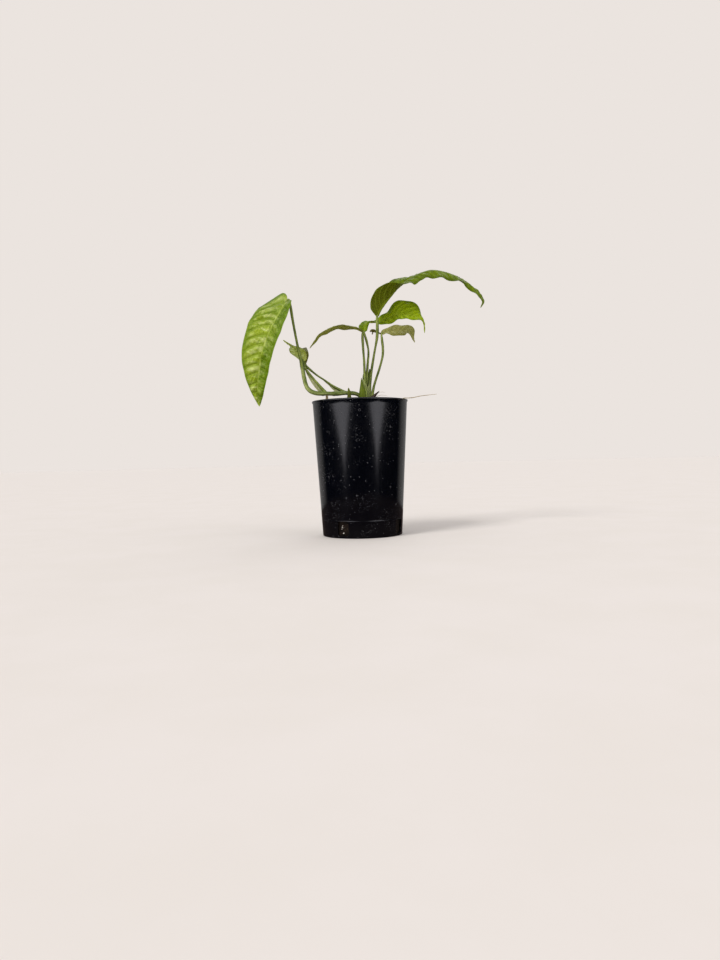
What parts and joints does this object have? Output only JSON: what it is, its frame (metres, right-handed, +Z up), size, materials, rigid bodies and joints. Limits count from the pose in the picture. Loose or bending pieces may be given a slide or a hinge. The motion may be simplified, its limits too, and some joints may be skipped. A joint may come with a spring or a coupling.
{
  "type": "potted juvenile monstera plant",
  "caption": "Young climbing plant with narrow arching leaves on thin petioles, rooted in potting mix in a small tapered plastic nursery pot.",
  "frame": {"origin": "centre of the pot's flat base, on the surface that it stands on", "axes": "+Z up along the pot's axis, -Y towards the front of the plant, +X towards its right, where the long arching leaf hangs"},
  "size_m": [0.2021, 0.08, 0.2217],
  "materials": {
    "pot": "gloss",
    "potting_mix": "matte",
    "bark": "matte",
    "perlite": "matte",
    "stem": "satin",
    "sheath": "satin",
    "dry_stem": "matte",
    "root": "matte",
    "leaf_light": "satin",
    "leaf_green": "satin",
    "leaf_dark": "satin",
    "leaf_grey": "matte"
  },
  "bodies": {
    "root": {"nursery_pot": "pot", "potting_mix": "potting_mix", "bark_chip_1": "bark", "bark_chip_2": "bark", "bark_chip_3": "bark", "bark_chip_4": "bark", "bark_chip_5": "bark", "bark_chip_6": "bark", "bark_chip_7": "bark", "bark_chip_8": "bark", "bark_chip_9": "bark", "bark_chip_10": "bark", "bark_chip_11": "bark", "bark_chip_12": "bark", "bark_chip_13": "bark", "bark_sliver": "bark", "perlite_1": "perlite", "perlite_2": "perlite", "perlite_3": "perlite", "perlite_4": "perlite", "perlite_5": "perlite", "vine_stem": "stem", "petiole_drooping": "stem", "petiole_cupped": "stem", "petiole_shaded": "stem", "petiole_left_arch": "stem", "petiole_right": "stem", "petiole_top_arch": "stem", "petiole_back": "stem", "new_shoot": "stem", "crown_sheath": "sheath", "petiole_stub": "dry_stem", "withered_bract": "dry_stem", "aerial_root": "root", "root_fibre": "root", "leaf_drooping": "leaf_light", "leaf_cupped": "leaf_green", "leaf_right": "leaf_green", "leaf_shaded": "leaf_dark", "leaf_left_arch": "leaf_dark", "leaf_top_arch": "leaf_dark", "leaf_back": "leaf_grey"}
  },
  "joints": []
}
